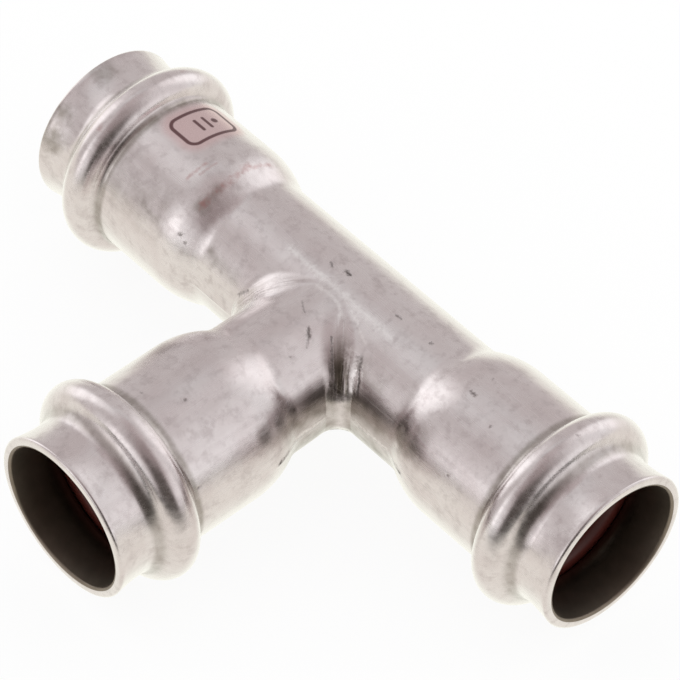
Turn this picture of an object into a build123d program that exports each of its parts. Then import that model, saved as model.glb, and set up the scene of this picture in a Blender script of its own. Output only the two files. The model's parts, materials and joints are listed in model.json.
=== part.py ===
from build123d import *
from dataclasses import dataclass, replace
from math import acos, cos, sin, sqrt
import os

# Equal press tee for 18 mm thin-wall steel tube, with a seal ring in each of its three ends.
# The run lies along X and the branch points to -Y. The tee lies flat on its three beads, so the
# tubes' axes are level, one bead radius above the surface at Z = 0. The origin is on that surface,
# below the middle of the tee's bounding box.

# Lengths along an arm, in millimetres. "From mouth" is measured inwards from the open end.
RUN_HALF = 45.2             # centre of the tee to either mouth of the run
BRANCH_REACH = 43.8         # axis of the run to the mouth of the branch
FLARE_FROM_MOUTH = 4.2      # where the collar starts to open
BEAD_FROM_MOUTH = 8.6       # crest of the bead
SHOULDER_FROM_MOUTH = 21.5  # end of the straight socket

# Radii of the outer skin, in millimetres.
TUBE_RADIUS = 9.05          # run between its shoulders
BRANCH_TUBE_RADIUS = 8.75   # branch, drawn a little smaller than the run it is pulled from
SOCKET_RADIUS = 10.65
BEAD_RADIUS = 13.1
BEAD_ARC = 2.4              # rounding of the bead's crest
SOCKET_VALLEY = 0.9         # rounding of the valley between the bead and the socket
COLLAR_VALLEY = 2.3         # rounding of the valley between the bead and the collar
COLLAR_RADIUS = 10.3
LIP_RADIUS = 10.75          # opened end of the collar
SHOULDER_CONVEX = 12.0
SHOULDER_CONCAVE = 4.0
CROTCH_FILLET = 2.6         # rounding between the run and the branch

# Wall and bore.
TUBE_WALL = 1.4
BEAD_WALL = 1.15            # the bead and the collar are stretched thinner
BORE_RADIUS = 9.2           # takes an 18 mm tube
LIP_BORE_RADIUS = 9.4
LIP_BORE_FLARE = 2.6        # the bore opens only this far from the mouth
LIP_ROUNDING = 0.35

# Seal ring: a round section of the bead's groove, squeezed to an oval that stands proud of the bore.
SEAL_BORE_RADIUS = 9.05

# Place of the tee's centre in the frame.
AXIS_HEIGHT = BEAD_RADIUS
RUN_Y = (BRANCH_REACH - BEAD_RADIUS) / 2
CENTRE = Pos(0, RUN_Y, AXIS_HEIGHT)

BEAD_CENTRE_RADIUS = BEAD_RADIUS - BEAD_ARC
MOUTH_OVERRUN = 1.0         # the hollow is drawn this far past the mouth before it is cut out
SAME_PLACE = 0.01           # circles centred this close to a mouth's centre are its edges


@dataclass(frozen=True)
class Skin:
    """One side of the wall: the radii of its straight stretches and curves, and its flare."""

    tube: float
    socket: float
    collar: float
    lip: float
    flare: float
    bead_arc: float
    socket_valley: float
    collar_valley: float
    convex: float
    concave: float
    overrun: float


OUTER = Skin(
    tube=TUBE_RADIUS,
    socket=SOCKET_RADIUS,
    collar=COLLAR_RADIUS,
    lip=LIP_RADIUS,
    flare=FLARE_FROM_MOUTH,
    bead_arc=BEAD_ARC,
    socket_valley=SOCKET_VALLEY,
    collar_valley=COLLAR_VALLEY,
    convex=SHOULDER_CONVEX,
    concave=SHOULDER_CONCAVE,
    overrun=0.0,
)
INNER = Skin(
    tube=TUBE_RADIUS - TUBE_WALL,
    socket=BORE_RADIUS,
    collar=BORE_RADIUS,
    lip=LIP_BORE_RADIUS,
    flare=LIP_BORE_FLARE,
    bead_arc=BEAD_ARC - BEAD_WALL,
    socket_valley=SOCKET_VALLEY + BEAD_WALL,
    collar_valley=COLLAR_VALLEY + BEAD_WALL,
    convex=SHOULDER_CONVEX - TUBE_WALL,
    concave=SHOULDER_CONCAVE + TUBE_WALL,
    overrun=MOUTH_OVERRUN,
)
BRANCH_STEP = TUBE_RADIUS - BRANCH_TUBE_RADIUS


def bead_flank(base, arc, valley):
    """Half of a bead: offsets along the arm and radii where its arc, valley and straight meet."""
    rise = base + valley - BEAD_CENTRE_RADIUS
    link = arc + valley
    width = sqrt(link**2 - rise**2)
    share = arc / link
    return {"end": (width, base), "join": (width * share, BEAD_CENTRE_RADIUS + rise * share)}


def arm_outline(skin, reach):
    """Outline of one arm's half section, from the centre of the tee at X = 0 to its mouth."""
    bead = reach - BEAD_FROM_MOUTH
    socket_end = reach - SHOULDER_FROM_MOUTH
    swing = acos(1 - (skin.socket - skin.tube) / (skin.convex + skin.concave))
    tube_end = socket_end - (skin.convex + skin.concave) * sin(swing)
    turn = (socket_end - skin.convex * sin(swing), skin.socket - skin.convex * (1 - cos(swing)))
    inward = bead_flank(skin.socket, skin.bead_arc, skin.socket_valley)
    outward = bead_flank(skin.collar, skin.bead_arc, skin.collar_valley)
    valley_in = (bead - inward["end"][0], skin.socket)
    join_in = (bead - inward["join"][0], inward["join"][1])
    crest = (bead, BEAD_CENTRE_RADIUS + skin.bead_arc)
    join_out = (bead + outward["join"][0], outward["join"][1])
    valley_out = (bead + outward["end"][0], skin.collar)
    flare = (reach - skin.flare, skin.collar)
    lip = (reach, skin.lip)
    tip = reach + skin.overrun
    edges = [
        Line((0, 0), (0, skin.tube)),
        Line((0, skin.tube), (tube_end, skin.tube)),
        TangentArc((tube_end, skin.tube), turn, tangent=(1, 0)),
        TangentArc((socket_end, skin.socket), turn, tangent=(-1, 0)),
        Line((socket_end, skin.socket), valley_in),
        TangentArc(valley_in, join_in, tangent=(1, 0)),
        ThreePointArc(join_in, crest, join_out),
        TangentArc(valley_out, join_out, tangent=(-1, 0)),
        Line(valley_out, flare),
        TangentArc(flare, lip, tangent=(1, 0)),
        Line((tip, skin.lip), (tip, 0)),
        Line((tip, 0), (0, 0)),
    ]
    if skin.overrun:
        edges.append(Line(lip, (tip, skin.lip)))
    return make_face(edges)


def arm(skin, reach):
    """One arm of the tee as a solid of revolution along +X, with its seam underneath."""
    return Rot(-90, 0, 0) * revolve(arm_outline(skin, reach), axis=Axis.X)


def three_arms(skin, crotch):
    """Run and branch of one skin, blended into each other at the crotch."""
    run_arm = arm(skin, RUN_HALF)
    branch_arm = arm(replace(skin, tube=skin.tube - BRANCH_STEP), BRANCH_REACH)
    joined = run_arm + Rot(0, 0, 180) * run_arm + Rot(0, 0, -90) * branch_arm
    crossing = joined.edges().filter_by(GeomType.BSPLINE)
    return fillet(crossing, crotch)


def tee_body():
    """The hollow steel body, with rounded lips."""
    body = three_arms(OUTER, CROTCH_FILLET) - three_arms(INNER, CROTCH_FILLET + TUBE_WALL)
    lips = []
    for mouth in (Vector(RUN_HALF, 0, 0), Vector(-RUN_HALF, 0, 0), Vector(0, -BRANCH_REACH, 0)):
        lips += [
            edge
            for edge in body.edges().filter_by(GeomType.CIRCLE)
            if (edge.arc_center - mouth).length < SAME_PLACE
        ]
    return CENTRE * fillet(lips, LIP_ROUNDING)


def seal_ring(reach, turn):
    """A ring that fills the groove inside one bead and stands a little proud of the bore."""
    section = BEAD_ARC - BEAD_WALL
    centre = reach - BEAD_FROM_MOUTH
    inner_centre = SEAL_BORE_RADIUS + section
    edges = [
        ThreePointArc(
            (centre - section, BEAD_CENTRE_RADIUS),
            (centre, BEAD_CENTRE_RADIUS + section),
            (centre + section, BEAD_CENTRE_RADIUS),
        ),
        Line((centre + section, BEAD_CENTRE_RADIUS), (centre + section, inner_centre)),
        ThreePointArc(
            (centre + section, inner_centre),
            (centre, SEAL_BORE_RADIUS),
            (centre - section, inner_centre),
        ),
        Line((centre - section, inner_centre), (centre - section, BEAD_CENTRE_RADIUS)),
    ]
    ring = revolve(make_face(edges), axis=Axis.X)
    return CENTRE * Rot(0, 0, turn) * ring


NODES = {
    "tee_body": tee_body(),
    "seal_ring_right": seal_ring(RUN_HALF, 0),
    "seal_ring_left": seal_ring(RUN_HALF, 180),
    "seal_ring_branch": seal_ring(BRANCH_REACH, -90),
}

os.makedirs("parts", exist_ok=True)
for name, shape in NODES.items():
    export_step(shape, f"parts/{name}.step")
    box = shape.bounding_box()
    print(name, round(shape.volume, 1), "mm3", box.size)
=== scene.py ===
"""The looks of a press fit tee in pickled stainless steel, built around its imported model.

The run lies along X, the branch points to -Y, and the tee lies flat on its three beads. An arm is
measured in its own directions: "along" runs from the tee's centre to a mouth, and a radius is
square to that. Lengths in the dataclasses are in metres, written as a number times MM.
"""
import json
import logging
import math
from dataclasses import dataclass, field
from enum import Enum

import bmesh
import bpy
import numpy as np
from mathutils import Euler, Matrix, Vector


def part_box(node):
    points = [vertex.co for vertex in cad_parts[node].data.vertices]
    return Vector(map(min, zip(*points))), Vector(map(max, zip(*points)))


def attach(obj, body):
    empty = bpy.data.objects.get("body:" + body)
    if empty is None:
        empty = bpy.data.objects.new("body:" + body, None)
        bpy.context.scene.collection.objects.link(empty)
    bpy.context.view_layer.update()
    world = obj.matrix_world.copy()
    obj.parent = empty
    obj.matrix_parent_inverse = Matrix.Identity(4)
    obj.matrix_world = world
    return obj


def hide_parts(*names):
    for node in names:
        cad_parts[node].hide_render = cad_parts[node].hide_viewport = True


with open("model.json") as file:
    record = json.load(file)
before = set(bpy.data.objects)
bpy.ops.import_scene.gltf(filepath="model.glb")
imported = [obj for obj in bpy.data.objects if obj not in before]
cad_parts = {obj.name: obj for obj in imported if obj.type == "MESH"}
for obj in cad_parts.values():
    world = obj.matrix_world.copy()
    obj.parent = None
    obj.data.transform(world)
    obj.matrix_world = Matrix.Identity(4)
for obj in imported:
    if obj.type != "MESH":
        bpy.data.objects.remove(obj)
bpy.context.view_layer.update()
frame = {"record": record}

LOG = logging.getLogger("press_tee")
MM = 0.001
BLEND_SKIN = "blend_skin"
WALL_SIDE = "wall_side"


class Arm(Enum):
    """The three arms of the tee, each with the turn that brings it from +X to its place."""

    RIGHT = (0.0, 0.0, 0.0)
    LEFT = (0.0, math.pi, 0.0)
    BRANCH = (0.0, 0.0, -math.pi / 2)


class Side(Enum):
    """The two sides of the steel's wall, each with its number in the mesh."""

    OUTER = 1.0
    INNER = 2.0


@dataclass(frozen=True)
class Skin:
    """One side of the wall of an arm: its radii, its roundings and where its collar opens."""

    tube: float
    socket: float
    collar: float
    lip: float
    flare: float
    bead_arc: float
    valley: float
    collar_valley: float
    convex: float
    concave: float
    lip_side: float


@dataclass(frozen=True)
class TeeSizes:
    """The tee's sizes, in metres. What the frame states is read from it by from_frame."""

    run_half: float
    branch_reach: float
    axis_height: float
    run_y: float
    bead_from_mouth: float
    bore: float
    tube: float = 9.05 * MM
    branch_tube: float = 8.75 * MM
    shoulder_from_mouth: float = 21.5 * MM
    socket: float = 10.65 * MM
    bead_arc: float = 2.4 * MM
    valley: float = 0.9 * MM
    collar_valley: float = 2.3 * MM
    collar: float = 10.3 * MM
    lip: float = 10.75 * MM
    flare_from_mouth: float = 4.2 * MM
    convex: float = 12.0 * MM
    concave: float = 4.0 * MM
    tube_wall: float = 1.4 * MM
    bead_wall: float = 1.15 * MM
    lip_bore: float = 9.4 * MM
    bore_flare: float = 2.6 * MM
    lip_rounding: float = 0.35 * MM

    @classmethod
    def from_frame(cls) -> "TeeSizes":
        """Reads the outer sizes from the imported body's box and the bore from its mounts."""
        low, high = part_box("tee_body")
        ring_low, ring_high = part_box("seal_ring_right")
        bead = high[2] / 2
        run_y = high[1] - bead
        return cls(
            run_half=high[0],
            branch_reach=run_y - low[1],
            axis_height=bead,
            run_y=run_y,
            bead_from_mouth=high[0] - (ring_low[0] + ring_high[0]) / 2,
            bore=frame["record"]["mounts"][0]["dims"]["r_mm"] * MM,
        )

    @property
    def bead_centre(self) -> float:
        """Radius at which the rounding of the bead's crest has its centre."""
        return self.axis_height - self.bead_arc

    def centre(self) -> Vector:
        """The point where the three arms' axes meet."""
        return Vector((0.0, self.run_y, self.axis_height))

    def reach(self, arm: Arm) -> float:
        """Length of an arm from the tee's centre to its mouth."""
        return self.branch_reach if arm is Arm.BRANCH else self.run_half

    def tube_radius(self, arm: Arm, side: Side) -> float:
        """Radius of an arm's plain tube on one side of its wall."""
        outer = self.branch_tube if arm is Arm.BRANCH else self.tube
        return outer - (self.tube_wall if side is Side.INNER else 0.0)

    def skin(self, arm: Arm, side: Side) -> Skin:
        """Gathers the radii and roundings of one side of an arm's wall.

        Args:
            arm: the arm that the skin belongs to.
            side: the outer or the inner side of the wall.

        Returns:
            The skin's sizes.
        """
        if side is Side.OUTER:
            return Skin(
                tube=self.tube_radius(arm, side),
                socket=self.socket,
                collar=self.collar,
                lip=self.lip,
                flare=self.flare_from_mouth,
                bead_arc=self.bead_arc,
                valley=self.valley,
                collar_valley=self.collar_valley,
                convex=self.convex,
                concave=self.concave,
                lip_side=-1.0,
            )
        return Skin(
            tube=self.tube_radius(arm, side),
            socket=self.bore,
            collar=self.bore,
            lip=self.lip_bore,
            flare=self.bore_flare,
            bead_arc=self.bead_arc - self.bead_wall,
            valley=self.valley + self.bead_wall,
            collar_valley=self.collar_valley + self.bead_wall,
            convex=self.convex - self.tube_wall,
            concave=self.concave + self.tube_wall,
            lip_side=1.0,
        )


@dataclass(frozen=True)
class Web:
    """First form of the web in the crotch: the ball that rolls in it, wider towards the top."""

    middle_radius: float = 1.95 * MM
    growth: float = 5.5 * MM
    growth_power: float = 3.0


@dataclass(frozen=True)
class Detail:
    """How finely each stretch of a half section and each web is divided."""

    tube: int = 24
    concave: int = 8
    convex: int = 14
    socket: int = 12
    valley: int = 8
    crest: int = 26
    collar: int = 2
    flare: int = 9
    lip: int = 6
    face: int = 2
    front_columns: int = 88
    back_columns: int = 44
    web_rows: int = 24
    merge: float = 0.002 * MM
    relax_steps: int = 8


INNER_DETAIL = Detail(tube=16, concave=4, convex=8, socket=4, valley=4, crest=14, collar=1, flare=4)


def arc_points(centre: tuple, radius: float, start: float, end: float, count: int) -> list:
    """Divides an arc evenly.

    Args:
        centre: the arc's centre, along the arm and across it.
        radius: the arc's radius.
        start: angle of the first point, in radians.
        end: angle of the last point.
        count: number of equal steps.

    Returns:
        The points after the first one, as pairs of along and across.
    """
    steps = [start + (end - start) * (i + 1) / count for i in range(count)]
    return [(centre[0] + radius * math.cos(a), centre[1] + radius * math.sin(a)) for a in steps]


def line_points(start: tuple, end: tuple, count: int) -> list:
    """Divides a straight stretch evenly.

    Args:
        start: the first point, which isn't repeated in the result.
        end: the last point.
        count: number of equal steps.

    Returns:
        The points after the first one, as pairs of along and across.
    """
    steps = [(i + 1) / count for i in range(count)]
    return [(start[0] + (end[0] - start[0]) * t, start[1] + (end[1] - start[1]) * t) for t in steps]


@dataclass
class Meridian:
    """Half section of one skin of an arm, as points from the crotch to the lip.

    A point is its place along the arm, its radius, and how far it is free of the crotch: 0 on the
    crotch's edge and 1 from the end of the plain tube on.
    """

    sizes: TeeSizes
    detail: Detail
    arm: Arm
    side: Side

    def points(self) -> list[tuple[float, float, float]]:
        """Works the half section out from the skin's sizes.

        Returns:
            The points as along, radius and freedom.
        """
        skin = self.sizes.skin(self.arm, self.side)
        reach = self.sizes.reach(self.arm)
        socket_end = reach - self.sizes.shoulder_from_mouth
        swing = math.acos(1 - (skin.socket - skin.tube) / (skin.convex + skin.concave))
        tube_end = socket_end - (skin.convex + skin.concave) * math.sin(swing)
        d = self.detail
        tube_rows = [(tube_end, skin.tube, (i / d.tube) ** 2) for i in range(d.tube + 1)]
        quarter = math.pi / 2
        path = arc_points(
            (tube_end, skin.tube + skin.concave), skin.concave, -quarter, -quarter + swing, d.concave
        )
        path += arc_points(
            (socket_end, skin.socket - skin.convex), skin.convex, quarter + swing, quarter, d.convex
        )
        path += self.bead(skin, reach - self.sizes.bead_from_mouth, path[-1])
        path += self.collar(skin, reach, path[-1])
        return tube_rows + [(along, radius, 1.0) for along, radius in path]

    def bead(self, skin: Skin, bead: float, start: tuple) -> list:
        """The socket's straight stretch, both valleys and the crest of the bead.

        Args:
            skin: sizes of this side of the wall.
            bead: place of the bead's middle along the arm.
            start: the last point before the socket.

        Returns:
            Pairs of along and radius.
        """
        d = self.detail
        quarter = math.pi / 2
        turns, widths = [], []
        for base, valley in ((skin.socket, skin.valley), (skin.collar, skin.collar_valley)):
            link = skin.bead_arc + valley
            rise = base + valley - self.sizes.bead_centre
            turns.append(math.acos(rise / link))
            widths.append(math.sqrt(link**2 - rise**2))
        valley_in = (bead - widths[0], skin.socket + skin.valley)
        valley_out = (bead + widths[1], skin.collar + skin.collar_valley)
        path = line_points(start, (valley_in[0], skin.socket), d.socket)
        path += arc_points(valley_in, skin.valley, -quarter, -quarter + turns[0], d.valley)
        crest = (bead, self.sizes.bead_centre)
        path += arc_points(crest, skin.bead_arc, quarter + turns[0], quarter - turns[1], d.crest)
        path += arc_points(valley_out, skin.collar_valley, -quarter - turns[1], -quarter, d.valley)
        return path

    def collar(self, skin: Skin, reach: float, start: tuple) -> list:
        """The collar's straight stretch, its flare and its half of the rounded lip.

        Args:
            skin: sizes of this side of the wall.
            reach: length of the arm.
            start: the last point before the collar.

        Returns:
            Pairs of along and radius.
        """
        d = self.detail
        round_off = self.sizes.lip_rounding
        quarter = math.pi / 2
        radius, swing, edge = self.lip_edge(skin)
        flare_start = reach - skin.flare
        path = line_points(start, (flare_start, skin.collar), d.collar)
        path += arc_points((flare_start, skin.collar + radius), radius, -quarter, -quarter + swing, d.flare)
        centre = (reach - round_off, edge + skin.lip_side * round_off)
        path += arc_points(centre, round_off, -skin.lip_side * quarter, 0.0, d.lip)
        if self.side is Side.OUTER:
            inner_edge = self.lip_edge(self.sizes.skin(self.arm, Side.INNER))[2]
            path += line_points(path[-1], (reach, inner_edge + round_off), d.face)
        return path

    def lip_edge(self, skin: Skin) -> tuple[float, float, float]:
        """Arc by which a collar opens: its radius, its swing, and how wide it is at the lip."""
        rise = skin.lip - skin.collar
        radius = (skin.flare**2 + rise**2) / (2 * rise)
        swing = math.asin((skin.flare - self.sizes.lip_rounding) / radius)
        return radius, swing, skin.collar + radius * (1 - math.cos(swing))


class Sketch:
    """A node tree being drawn: adds nodes and joins them in one call each."""

    def __init__(self, tree: bpy.types.NodeTree) -> None:
        """Keeps the tree that the nodes go in."""
        self.tree = tree

    def node(self, kind: str, inputs: dict | None = None, **settings) -> bpy.types.Node:
        """Adds a node.

        Args:
            kind: the node's type.
            inputs: what goes into its sockets, by name or number: a socket or a plain value.
            settings: the node's own properties.

        Returns:
            The new node.
        """
        made = self.tree.nodes.new(kind)
        for name, value in settings.items():
            setattr(made, name, value)
        for key, value in (inputs or {}).items():
            socket = made.inputs[key]
            if isinstance(value, bpy.types.NodeSocket):
                self.tree.links.new(value, socket)
            else:
                socket.default_value = value
        return made

    def math(self, operation: str, *values) -> bpy.types.NodeSocket:
        """Adds a Math node and returns its result."""
        kept = dict(enumerate(values))
        return self.node("ShaderNodeMath", kept, operation=operation).outputs[0]

    def vector(self, operation: str, *values, **named) -> bpy.types.NodeSocket:
        """Adds a Vector Math node and returns its result."""
        kept = dict(enumerate(values)) | {name.capitalize(): value for name, value in named.items()}
        made = self.node("ShaderNodeVectorMath", kept, operation=operation)
        scalar = operation in ("LENGTH", "DISTANCE", "DOT_PRODUCT")
        return made.outputs["Value" if scalar else "Vector"]

    def smooth(self, value, low, high, start=0.0, end=1.0) -> bpy.types.NodeSocket:
        """Maps a value from one range to another, smoothly and without going past the ends."""
        inputs = {"Value": value, "From Min": low, "From Max": high, "To Min": start, "To Max": end}
        return self.node("ShaderNodeMapRange", inputs, interpolation_type="SMOOTHSTEP").outputs[0]

    def combine(self, x, y, z) -> bpy.types.NodeSocket:
        """Joins three values into a vector."""
        return self.node("ShaderNodeCombineXYZ", {0: x, 1: y, 2: z}).outputs[0]

    def fill(self, made: bpy.types.Node, values: dict) -> None:
        """Sets a group node's inputs by name, each to a socket or a plain value."""
        for label, value in values.items():
            socket = made.inputs[label]
            if isinstance(value, bpy.types.NodeSocket):
                self.tree.links.new(value, socket)
            else:
                socket.default_value = value

    def split(self, vector: bpy.types.NodeSocket) -> tuple:
        """Splits a vector into its three values."""
        made = self.node("ShaderNodeSeparateXYZ", {0: vector})
        return tuple(made.outputs)


class GeometrySketch(Sketch):
    """A Geometry Nodes tree with named inputs and one geometry output."""

    SOCKETS = {
        "geometry": "NodeSocketGeometry",
        "float": "NodeSocketFloat",
        "int": "NodeSocketInt",
        "bool": "NodeSocketBool",
        "material": "NodeSocketMaterial",
    }

    def __init__(self, name: str, inputs: dict[str, str]) -> None:
        """Makes the tree and its inputs.

        Args:
            name: the tree's name.
            inputs: kind of each input, by name.
        """
        super().__init__(bpy.data.node_groups.new(name, "GeometryNodeTree"))
        for label, kind in inputs.items():
            self.tree.interface.new_socket(label, in_out="INPUT", socket_type=self.SOCKETS[kind])
        self.tree.interface.new_socket("Geometry", in_out="OUTPUT", socket_type=self.SOCKETS["geometry"])
        self.inputs = self.tree.nodes.new("NodeGroupInput").outputs
        self.output = self.tree.nodes.new("NodeGroupOutput")

    def finish(self, geometry: bpy.types.NodeSocket) -> bpy.types.NodeTree:
        """Joins the result to the tree's output and returns the tree."""
        self.tree.links.new(geometry, self.output.inputs[0])
        return self.tree

    def identifier(self, label: str) -> str:
        """Identifier of a named input, by which a modifier sets it."""
        items = self.tree.interface.items_tree
        return next(i.identifier for i in items if i.in_out == "INPUT" and i.name == label)

    def grid(self, rows, columns) -> tuple:
        """Adds a grid of rows times columns of points.

        Args:
            rows: number of points in a column.
            columns: number of points in a row.

        Returns:
            The grid's geometry, and the row and column number of each point.
        """
        made = self.node(
            "GeometryNodeMeshGrid", {"Vertices X": rows, "Vertices Y": columns}
        ).outputs[0]
        index = self.node("GeometryNodeInputIndex").outputs[0]
        row = self.math("FLOOR", self.math("DIVIDE", index, columns))
        column = self.math("SUBTRACT", index, self.math("MULTIPLY", row, columns))
        return made, row, column

    def store(self, geometry, name: str, value, domain: str) -> bpy.types.NodeSocket:
        """Stores a number on the geometry.

        Args:
            geometry: the socket that the geometry comes from.
            name: the attribute's name.
            value: the number, as a field.
            domain: where it is kept, POINT or FACE.

        Returns:
            The geometry with the attribute.
        """
        inputs = {"Geometry": geometry, "Name": name, "Value": value}
        kind = "GeometryNodeStoreNamedAttribute"
        return self.node(kind, inputs, data_type="FLOAT", domain=domain).outputs[0]

    def web_radius(self, sine, base, growth, power) -> bpy.types.NodeSocket:
        """Radius of the ball that would roll in the crotch at a height given by a sine."""
        rise = self.math("POWER", self.math("ABSOLUTE", sine), power)
        return self.math("MULTIPLY_ADD", rise, growth, base)


def arm_tree() -> GeometrySketch:
    """Tree that turns one meridian about an arm and trims its start to the crotch.

    Returns:
        The tree, which is used once for each skin of each arm.
    """
    tree = GeometrySketch(
        "turned_arm",
        {
            "Meridians": "geometry",
            "First Point": "int",
            "Rows": "int",
            "Front Columns": "int",
            "Back Columns": "int",
            "Both Sides": "bool",
            "Neighbour Radius": "float",
            "Web Radius": "float",
            "Web Growth": "float",
            "Web Power": "float",
            "Skin Number": "float",
        },
    )
    given = tree.inputs
    front, back = given["Front Columns"], given["Back Columns"]
    columns = tree.math("ADD", tree.math("ADD", front, back), 1.0)
    surface, row, column = tree.grid(given["Rows"], columns)
    point = tree.node(
        "GeometryNodeSampleIndex",
        {
            "Geometry": given["Meridians"],
            "Value": tree.node("GeometryNodeInputPosition").outputs[0],
            "Index": tree.math("ADD", row, given["First Point"]),
        },
        data_type="FLOAT_VECTOR",
        domain="POINT",
    ).outputs[0]
    along, radius, free = tree.split(point)
    in_front = tree.math("MINIMUM", tree.math("DIVIDE", column, front), 1.0)
    behind = tree.math("MAXIMUM", tree.math("DIVIDE", tree.math("SUBTRACT", column, front), back), 0.0)
    half_turns = tree.math("SUBTRACT", tree.math("ADD", in_front, behind), 0.5)
    angle = tree.math("MULTIPLY", half_turns, math.pi)
    cosine, sine = tree.math("COSINE", angle), tree.math("SINE", angle)
    ball = tree.web_radius(sine, given["Web Radius"], given["Web Growth"], given["Web Power"])
    one_side = tree.math("MAXIMUM", cosine, 0.0)
    both = tree.math("ABSOLUTE", cosine)
    facing = tree.node(
        "GeometryNodeSwitch", {0: given["Both Sides"], 1: one_side, 2: both}, input_type="FLOAT"
    ).outputs[0]
    start = tree.math("MULTIPLY", tree.math("ADD", given["Neighbour Radius"], ball), facing)
    place = tree.math("MULTIPLY_ADD", tree.math("SUBTRACT", along, start), free, start)
    across = tree.math("MULTIPLY", tree.math("MULTIPLY", radius, cosine), -1.0)
    height = tree.math("MULTIPLY", radius, sine)
    turned = tree.node(
        "GeometryNodeSetPosition", {"Geometry": surface, "Position": tree.combine(place, across, height)}
    ).outputs[0]
    blended = tree.math("MULTIPLY", tree.math("LESS_THAN", free, 1.0), given["Skin Number"])
    marked = tree.store(turned, BLEND_SKIN, blended, "POINT")
    tree.finish(tree.store(marked, WALL_SIDE, given["Skin Number"], "FACE"))
    return tree


def web_tree() -> GeometrySketch:
    """Tree for one side's web between the run and the branch, an arc in each level slice.

    Returns:
        The tree, which is used once for each side and skin.
    """
    tree = GeometrySketch(
        "crotch_web",
        {
            "Run Radius": "float",
            "Branch Radius": "float",
            "Web Radius": "float",
            "Web Growth": "float",
            "Web Power": "float",
            "Rows": "int",
            "Columns": "int",
            "Skin Number": "float",
        },
    )
    given = tree.inputs
    columns = tree.math("ADD", given["Columns"], 1.0)
    surface, row, column = tree.grid(tree.math("ADD", given["Rows"], 1.0), columns)
    half_turns = tree.math("SUBTRACT", tree.math("DIVIDE", column, given["Columns"]), 0.5)
    angle = tree.math("MULTIPLY", half_turns, math.pi)
    cosine, sine = tree.math("COSINE", angle), tree.math("SINE", angle)
    ball = tree.web_radius(sine, given["Web Radius"], given["Web Growth"], given["Web Power"])
    share = tree.math("DIVIDE", row, given["Rows"])
    turn = tree.math("MULTIPLY_ADD", share, math.pi / 2, math.pi / 2)
    radius = tree.math("MULTIPLY", ball, cosine)
    run, branch = given["Run Radius"], given["Branch Radius"]
    centre_x = tree.math("MULTIPLY", tree.math("ADD", branch, ball), cosine)
    centre_y = tree.math("MULTIPLY", tree.math("MULTIPLY", tree.math("ADD", run, ball), cosine), -1.0)
    x = tree.math("MULTIPLY_ADD", radius, tree.math("COSINE", turn), centre_x)
    y = tree.math("MULTIPLY_ADD", radius, tree.math("SINE", turn), centre_y)
    level = tree.math("MULTIPLY_ADD", tree.math("SUBTRACT", branch, run), share, run)
    z = tree.math("MULTIPLY", level, sine)
    bent = tree.node(
        "GeometryNodeSetPosition", {"Geometry": surface, "Position": tree.combine(x, y, z)}
    ).outputs[0]
    marked = tree.store(bent, BLEND_SKIN, given["Skin Number"], "POINT")
    tree.finish(tree.store(marked, WALL_SIDE, given["Skin Number"], "FACE"))
    return tree


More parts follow.
